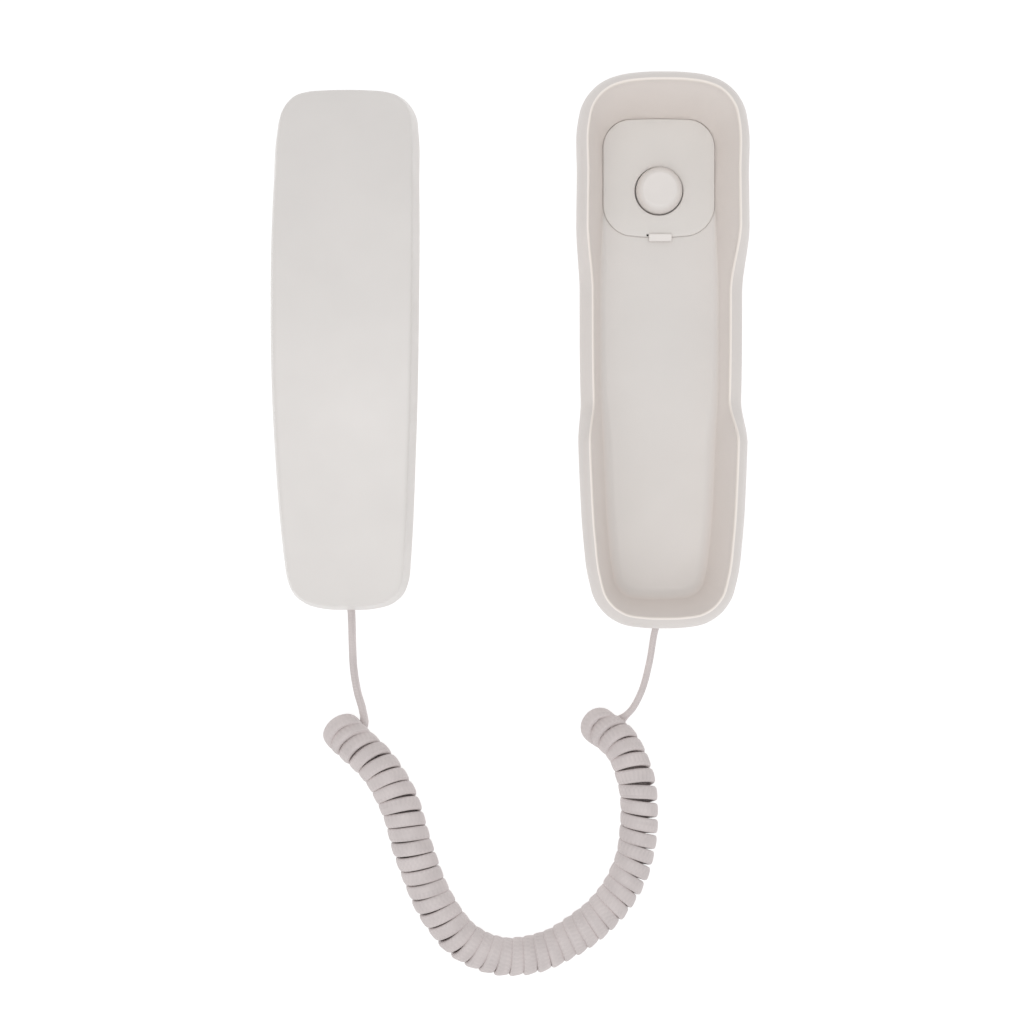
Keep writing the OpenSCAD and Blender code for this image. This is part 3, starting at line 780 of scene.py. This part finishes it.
def cradle_shell():
    """The cradle's shell from the tray's floor over the rim and down to its back: (object, lip rings)."""
    points, normals = outline(CRADLE_HALF, CRADLE_W, CRADLE_L, 1.5)
    y = points[:, 1]
    dip, dish, ear = rim_dip(y), bowl(y), ear_end(y)
    upper = smooth((y - 30) / 25)
    floor = FLOOR_Z - dish
    fillet = 2.8 + 1.6 * dish - 1.5 * upper
    rim = RIM_Z - dip
    rows = []

    def wall_at(z):
        """Inset of the inner wall: steep at the foot, opening towards the rim."""
        t = np.clip((rim - 1.3 - z) / (rim - 1.3 - floor), 0, 1)
        deep = wall_inset(floor) + 0.5 * upper + 2.9 * ear - 4.62
        return 4.62 + deep * (1 - (1 - t) ** 1.35)

    foot = wall_at(floor + fillet)
    for a in np.linspace(90, 0, 13):
        c, h = math.cos(math.radians(a)), math.sin(math.radians(a))
        rows.append((foot + fillet * 1.04 * (1 - c), floor + fillet * (1 - h)))
    low = floor + fillet
    for t in np.linspace(0, 1, 12)[1:-1]:
        z = low + (rim - 1.3 - low) * t
        rows.append((wall_at(z), z))
    lip_first = len(rows)
    shift = INNER_DRAFT * dip
    for d, z in LIP + FLANK:
        keep = smooth(-z / 8)
        rows.append((d + shift * (1 - keep) + OUTER_DRAFT * 0.8 * dip * keep, rim + z + 0.2 * dip * keep))
    widest_z = WIDEST_Z - 0.8 * dip
    widest_d = OUTER_DRAFT * 0.8 * dip
    for drop, inset in ((0.2, 0.0), (1.4, 0.06), (2.8, 0.22), (4.4, 0.5)):
        rows.append((widest_d + inset, widest_z - drop))
    top = widest_z - 4.4
    base_d = skin_inset(0)
    for t in np.linspace(0, 1, 10)[1:]:
        z = top + (1.1 - top) * t
        rows.append((widest_d + 0.5 + (skin_inset(1.1) - widest_d - 0.5) * t, z))
    for d, z in ((base_d + 0.02, 0.62), (base_d + 0.16, 0.26), (base_d + 0.42, 0.06), (base_d + 0.8, 0.0),
                 (base_d + WALL, 0.0), (base_d + WALL - 0.1, 0.6)):
        rows.append((d + 0 * y, z + 0 * y))
    rows.append((skin_inset(12 - 0.2 * dip) + WALL, 12 - 0.2 * dip))
    rows.append((skin_inset(34) + OUTER_DRAFT * dip + WALL, 34 - dip))
    rows.append((wall_inset(34) + INNER_DRAFT * dip - WALL + 0.8 * ear, 34 - dip))
    rows.append((wall_inset(18) + 0.018 * dip - WALL + 2.4 * ear, 18 - 0.1 * dip))
    rows.append((9.2 + 2.6 * ear, 12.6 - 0.5 * dish))
    rows.append((12.6 + 3 * dish + 1.3 * ear, 11.8 - dish))
    near = points - normals * TURN_IN
    to_spine = np.column_stack([0 * y, np.clip(near[:, 1], -SPINE, SPINE)]) - near
    to_spine /= np.linalg.norm(to_spine, axis=1)[:, None]
    rings = []
    for d, z in rows:
        d = np.asarray(d + 0 * y).reshape(-1, 1)
        flat = points - normals * np.minimum(d, TURN_IN) + to_spine * np.maximum(d - TURN_IN, 0)
        rings.append(np.column_stack([flat, z + 0 * y]))
    tips = rings[0][:, 1].min(), rings[0][:, 1].max()

    def tray(x, y0, u, z):
        """Height of the floor, sunk along its middle at the mouth end."""
        ends = float(smooth((y0 - tips[0]) / 26) * smooth((tips[1] - y0) / 10))
        return z - 0.7 * ends * float(bowl(y0)) * (1 - u * u) ** 1.5

    obj = skin("cradle_tray", rings, 24, tray, None, 34)
    cut(obj, [loops_mesh([[(x, y, z) for x, y in pad_edge(-0.15)] for z in (13.6, 16.5)])], 34)
    cut(obj, [
        tube_mesh(0, BUTTON_Y, 9, BUTTON_HOLE_R + 0.02, 8, 128),
        box_mesh(0, TAB_Y, 8.5, 5.6, 2.6, 8), box_mesh(*SLOT_END, 8.5, 0.8, 0.8, 8),
        box_mesh(0, -97, 2.8, 9.6, 12, 7.2),
        box_mesh(25, LINE_Y, 3, 14, 10.4, 7.2),
        box_mesh(-25, SLIDE_Y, 5, 14, 7.6, 3.2)], 34)
    return obj, [rings[r] for r in range(lip_first + 2, lip_first + 6)]


TRAY, LIP_HIGHLIGHT_RINGS = cradle_shell()
place(TRAY, plastic_cradle, "shell", "base", "cradle_shell")
paint_lip_highlight_and_tray(TRAY, LIP_HIGHLIGHT_RINGS)


def pad_plate():
    """Raised plate round the hook button, with a softly bowed lower edge."""
    loops = []
    for inset, z in ((0.0, 12.9), (0.0, 14.62), (0.03, 14.78), (0.1, 14.9), (0.22, 14.98), (0.4, PAD_Z)):
        loops.append([(x, y, z) for x, y in pad_edge(inset)])
    outer = np.array(loops[-1])
    hole = np.array([(BUTTON_HOLE_R * math.cos(a), BUTTON_Y + BUTTON_HOLE_R * math.sin(a), PAD_Z)
                     for a in PAD_ANGLES])
    centre = np.array((0, BUTTON_Y, 0))
    for t in (0.25, 0.5, 0.75, 0.95):
        p = outer + (hole - outer) * t
        loops.append([tuple(v) for v in p])
    for grow, z in ((0.35, PAD_Z), (0.16, PAD_Z - 0.05), (0.04, PAD_Z - 0.17), (0.0, PAD_Z - 0.35),
                    (0.0, 12.9)):
        p = centre + (hole - centre) * ((BUTTON_HOLE_R + grow) / BUTTON_HOLE_R)
        loops.append([(v[0], v[1], z) for v in p])
    loops.append(loops[0])
    obj = loft("button_pad", loops, 34, closed=False)
    bm = bmesh.new()
    bm.from_mesh(obj.data)
    bmesh.ops.remove_doubles(bm, verts=bm.verts, dist=1e-6)
    bm.to_mesh(obj.data)
    bm.free()
    return cut(obj, [box_mesh(*SLOT_END, 11, 0.8, 0.8, 8)], 34)


place(pad_plate(), plastic_pad, "shell", "base")


def button_cap():
    """Hook button: a round cap with a flange under the plate and a stem to the switch."""
    r, top = BUTTON_R, BUTTON_TOP
    profile = [(0, SWITCH_TOP - 0.6), (2.5, SWITCH_TOP - 0.6), (2.5, top - 1.6), (r - 1.5, top - 2.6),
               (r - 1.5, FLANGE_Z), (r + 1.8, FLANGE_Z), (r + 1.8, FLANGE_Z + 1.3), (r, FLANGE_Z + 1.3),
               (r, 16.9)]
    profile += [(r - 2.6 + 2.6 * math.cos(a), 17.0 + 3.86 * math.sin(a))
                for a in np.linspace(0.12, math.pi / 2 - 0.28, 14)]
    rim = profile[-1]
    profile += [(rim[0] - 0.35, top - 0.05), (rim[0] - 0.75, top - 0.02), (rim[0] - 1.3, top - 0.06),
                (rim[0] - 2.4, top - 0.12), (2.5, top - 0.14), (1.2, top - 0.15), (0, top - 0.15)]
    return lathe("hook_cap", profile, 0, BUTTON_Y, 160, 40)


place(button_cap(), plastic_button, "shell", "hook_button", "hook_button")


def hook_spring():
    """Coil spring between the switch and the cap."""
    turns, steps, coil_r, wire_r = 4, 28, 4.0, 0.35
    low, high = SWITCH_TOP + 0.4, BUTTON_TOP - 2.55
    loops = []
    for k in range(turns * steps + 1):
        a = 2 * math.pi * k / steps
        z = low + (high - low) * k / (turns * steps)
        ring = []
        for b in np.linspace(0, 2 * math.pi, 10, endpoint=False):
            r = coil_r + wire_r * math.cos(b)
            ring.append((r * math.cos(a), BUTTON_Y + r * math.sin(a), z + wire_r * math.sin(b)))
        loops.append(ring)
    obj = paint(loft("hook_coil_spring", loops, 60), steel)
    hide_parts("hook_spring")
    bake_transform(obj)


hook_spring()


def hanger_tab():
    """Reversible clip: a small plate with softened edges on a tongue through the tray floor."""
    z0 = FLOOR_Z + 1.1
    x, y = 0.45, TAB_Y - 0.2
    loops = [rounded_loop(5, 2, 0.3, FLOOR_Z - 3.6, 0, TAB_Y), rounded_loop(5, 2, 0.3, z0, 0, TAB_Y),
             rounded_loop(8.3, 2.4, 0.3, z0, x, y), rounded_loop(8.7, 2.8, 0.4, z0 + 0.2, x, y),
             rounded_loop(8.7, 2.8, 0.4, z0 + 1.2, x, y), rounded_loop(8.6, 2.7, 0.35, z0 + 1.4, x, y),
             rounded_loop(8.4, 2.5, 0.3, z0 + 1.5, x, y)]
    return loft("hanger_clip", loops, 40)


clip_white = moulded("clip_white", shade(SHELL, 1.08), 0.32, 0.15)
place(hanger_tab(), clip_white, "shell", "hanger_tab", "hanger_tab")


# ---------------------------------------------------------------- handset
def part_line(y):
    """Height of the arched seam between the handset's two halves."""
    return PART_Z + ARCH * (1 - np.minimum(1, np.abs(y) / HANDSET_L) ** 2)


def grip(y):
    """Height of the handset's underside: on the table at its ends, raised along the grip."""
    return GRIP_Z * (1 - smooth((np.abs(y) - 36) / 19))


def at_handset(points, normals, d, z):
    """Ring of the handset's outline, inset by d, at height z."""
    p = points - normals * np.asarray(d).reshape(-1, 1)
    return np.column_stack([p[:, 0] + HX, p[:, 1] + HY, z + 0 * p[:, 0]])


def handset_back():
    """Smooth upper cover of the handset, with its crowned face."""
    points, normals = outline(HANDSET_HALF, HANDSET_W, HANDSET_L, 1.5)
    # (inset, height above the seam) from the face over its edge, down to the seam and up the inside
    rows = [(4.4, 15.16), (3.8, 15.14), (3.2, 15.08), (2.75, 14.96), (2.45, 14.78), (2.24, 14.52),
            (2.08, 14.2), (1.96, 13.8), (1.82, 13.0), (1.62, 11.6), (1.36, 9.8), (1.08, 8.0),
            (0.8, 6.2), (0.52, 4.4), (0.28, 2.8), (0.12, 1.4), (0.06, 0.6), (0.06, 0.24), (0.2, 0.1),
            (2.0, 0.1), (3.2, 11.6), (5.0, 13.2), (9.0, 13.7)]
    rings = []
    for d, z in rows:
        p = points - normals * d
        rings.append(np.column_stack([p[:, 0] + HX, p[:, 1] + HY, part_line(p[:, 1]) + z]))

    def crown(x, y, u, z):
        """Height of the cover, raised along its middle."""
        ends = 1 - (abs(y - HY) / (HANDSET_L - 4.4)) ** 6
        return z + 0.85 * (1 - u * u) * max(0.0, ends)

    return skin("handset_cover", rings, 24, crown, None, 30)


place(handset_back(), plastic, "shell", "handset", "handset_back")


SOUND_HOLE_R = 0.9


def key_hole(x, y, w, l, corner_r):
    """Cutting solid for the opening round a key."""
    return loops_mesh([rounded_loop(w + 2 * KEY_GAP, l + 2 * KEY_GAP, corner_r, z, x, y) for z in (22, 30)])


def handset_front():
    """Lower half of the handset, with the ear and mouth cups, grip, key openings and screw wells."""
    points, normals = outline(HANDSET_HALF, HANDSET_W, HANDSET_L, 1.3)
    y = points[:, 1]
    face, inner = grip(y), grip(np.abs(y) - 1.6) + 2
    rings = []

    def add(share, inset, lift, surface):
        """Adds the ring that lies the share of the way from the seam to the surface."""
        top = part_line(y - normals[:, 1] * inset)
        z = top + (surface - top) * share
        rings.append(at_handset(points, normals, (top - z) * FRONT_DRAFT + inset, z + lift))

    add(1, 3.4, 0, inner)
    add(1, 2.6, 0.4, inner)
    add(1, 2.3, 1.2, inner)
    for share in (0.75, 0.5, 0.25):
        add(share, 2.2, 0, inner)
    add(0, 2.3, 0, inner)
    add(0, 0.5, 0, face)
    add(0, 0.3, -0.12, face)
    add(0, 0.24, -0.5, face)
    for share in (0.08, 0.2, 0.35, 0.5, 0.65, 0.8):
        add(share, 0.12, 0, face)
    for inset, lift in ((0.1, 2.6), (0.14, 1.7), (0.3, 0.95), (0.62, 0.42), (1.1, 0.12), (1.8, 0.0)):
        add(1, inset, lift, face)

    def dish(x, y0, u, z):
        """Height of the underside, hollow at the ear and the mouth."""
        cup = smooth((abs(y0 - HY) - 57) / 6) * smooth((93 - abs(y0 - HY)) / 8)
        return z + 1.0 * float(cup) * (1 - u * u) ** 1.5

    obj = skin("handset_body", rings, 32, None, dish, 36)
    holes = [tube_mesh(HX + x, HY + yy, -1, 3, 4.2, 40) for x, yy in HANDSET_SCREWS]
    for row in KEY_ROWS:
        for i in (-1, 0, 1):
            holes.append(key_hole(HX + i * KEY_DX, HY + row, *KEY_SIZE, KEY_CORNER_R + 0.2))
    for i in (-1, 1):
        holes.append(key_hole(HX + i * FUNCTION_DX, HY + FUNCTION_ROW, *FUNCTION_SIZE, KEY_CORNER_R))
    for ring_r, count in ((0.01, 1), (3.6, 6), (7.2, 12)):
        for k in range(count):
            a = 2 * math.pi * k / count
            x, ear_y = HX + ring_r * math.cos(a), HY + EAR_Y + ring_r * math.sin(a)
            holes.append(tube_mesh(x, ear_y, -1, SOUND_HOLE_R, 5, 24))
    for i in (-1, 0, 1):
        holes.append(tube_mesh(HX + i * 4, HY + MIC_Y, -1, SOUND_HOLE_R, 5, 24))
    holes.append(box_mesh(HX, -92, 4.2, 9.2, 12, 7.6))
    return cut(obj, holes, 36)


place(handset_front(), plastic, "shell", "handset", "handset_front")


def key_cap(name, x, y, w, l):
    """Key with softened edges and a dished face that looks down out of the handset."""
    flange_w, flange_l, flange_z = w + 2 * KEY_FLANGE, l + 2 * KEY_FLANGE, GRIP_Z + 2.3
    loops = [rounded_loop(flange_w, flange_l, KEY_CORNER_R + 0.2, flange_z + 0.9, x, y),
             rounded_loop(flange_w, flange_l, KEY_CORNER_R + 0.2, flange_z, x, y),
             rounded_loop(w, l, KEY_CORNER_R, flange_z, x, y)]
    for inset, lift in ((0.0, 0.9), (0.06, 0.5), (0.24, 0.2), (0.55, 0.04), (0.95, 0.0), (1.6, 0.06),
                        (2.4, 0.16), (3.4, 0.26)):
        inset = min(inset, l / 2 - 0.4)
        loops.append(rounded_loop(w - 2 * inset, l - 2 * inset, max(0.3, KEY_CORNER_R - inset),
                                  KEY_FACE + lift, x, y))
    return loft(name, loops, 40)


def legend_mark(name, text, x, y, size):
    """Generic key mark as a thin raised print on the key's face."""
    curve = bpy.data.curves.new(name, "FONT")
    curve.body, curve.size, curve.extrude = text, size * MM, 0.03 * MM
    curve.align_x, curve.align_y = "CENTER", "CENTER"
    holder = bpy.data.objects.new(name + "_font", curve)
    bpy.context.scene.collection.objects.link(holder)
    bpy.context.view_layer.update()
    mesh = bpy.data.meshes.new_from_object(holder.evaluated_get(bpy.context.evaluated_depsgraph_get()))
    bpy.data.objects.remove(holder)
    turn = Matrix.Rotation(math.pi, 4, "Y")
    mesh.transform(Matrix.Translation(Vector((x, y, KEY_FACE + 0.16)) * MM) @ turn)
    obj = bpy.data.objects.new(name, mesh)
    bpy.context.scene.collection.objects.link(obj)
    return obj


LEGEND_SIZE = 5.2
KEY_MARKS = ["1", "2", "3", "4", "5", "6", "7", "8", "9", "*", "0", "#"]
KEY_NAMES = ["1", "2", "3", "4", "5", "6", "7", "8", "9", "star", "0", "hash"]
for index, (mark, label) in enumerate(zip(KEY_MARKS, KEY_NAMES)):
    kx, ky = HX + (1 - index % 3) * KEY_DX, HY + KEY_ROWS[index // 3]
    place(key_cap(f"cap_{label}", kx, ky, *KEY_SIZE), key_plastic, "keys", f"key_{label}", f"key_{label}")
    place(legend_mark(f"mark_{label}", mark, kx, ky, LEGEND_SIZE), legend, "keys", f"key_{label}")
for label, sign in (("flash", 1), ("redial", -1)):
    cap = key_cap(f"cap_{label}", HX + sign * FUNCTION_DX, HY + FUNCTION_ROW, *FUNCTION_SIZE)
    place(cap, key_plastic, "keys", f"key_{label}", f"key_{label}")

# ---------------------------------------------------------------- carried-over CAD nodes
CAD_FINISH = {
    "back_plate": plastic_plate, "base_pcb": board, "handset_pcb": board, "base_parts": dark_plastic,
    "handset_parts": dark_plastic, "hook_switch": dark_plastic, "ringer": dark_plastic,
    "line_jack": dark_plastic, "base_cord_jack": dark_plastic,
    "handset_jack": dark_plastic, "ringer_switch_body": steel, "ringer_switch_knob": plastic_button,
    "case_screws": steel, "handset_screws": steel, "handset_weight": steel, "rubber_pads": rubber,
    "ear_speaker": dark_plastic, "ear_gasket": foam, "microphone": can, "mic_boot": rubber,
    "keypad_membrane": silicone, "base_plug": clear, "handset_plug": clear}
for node_name, finish in CAD_FINISH.items():
    paint(NODES[node_name], finish)


# ---------------------------------------------------------------- floor, light, look
# The floor's half size and height in metres, its own glow and the light from all round
FLOOR_HALF, FLOOR_Z_M, FLOOR_GLOW, WORLD_LIGHT = 14.0, -0.0003, 0.79, 0.62


def add_floor():
    """Plain pale floor that glows a little, so that it stays even round the phone."""
    mesh = bpy.data.meshes.new("floor")
    half = FLOOR_HALF
    corners = [(-half, -half, 0), (half, -half, 0), (half, half, 0), (-half, half, 0)]
    mesh.from_pydata(corners, [], [(0, 1, 2, 3)])
    floor = bpy.data.objects.new("floor", mesh)
    floor.location = (0, 0, FLOOR_Z_M)
    bpy.context.scene.collection.objects.link(floor)
    mat, _, bsdf = principled("pale_floor", (0.36, 0.36, 0.36), 0.9)
    bsdf.inputs["Emission Color"].default_value = (1, 1, 1, 1)
    bsdf.inputs["Emission Strength"].default_value = FLOOR_GLOW
    bsdf.inputs["Specular IOR Level"].default_value = 0.0
    floor.data.materials.append(mat)


def add_area(name, location, target, size, energy):
    """White softbox of the size in metres, turned to the target."""
    data = bpy.data.lights.new(name, "AREA")
    data.shape, data.size, data.size_y, data.energy = "RECTANGLE", size[0], size[1], energy
    light = bpy.data.objects.new(name, data)
    light.location = location
    light.rotation_euler = (Vector(target) - Vector(location)).to_track_quat("-Z", "Y").to_euler()
    bpy.context.scene.collection.objects.link(light)


def add_world():
    """Even white light from all round."""
    world = bpy.data.worlds.new("studio")
    world.use_nodes = True
    world.node_tree.nodes["Background"].inputs["Color"].default_value = (1, 1, 1, 1)
    world.node_tree.nodes["Background"].inputs["Strength"].default_value = WORLD_LIGHT
    bpy.context.scene.world = world


add_floor()
add_world()
MIDDLE = (-0.05, -0.05, 0)
add_area("key_low", (-0.25, -0.65, 1.7), MIDDLE, (1.4, 1.2), 6.6)
add_area("overhead", (-0.05, -0.05, 1.6), MIDDLE, (0.9, 0.9), 3.0)
scene = bpy.context.scene
scene.view_settings.view_transform = "Standard"
scene.view_settings.look = "None"
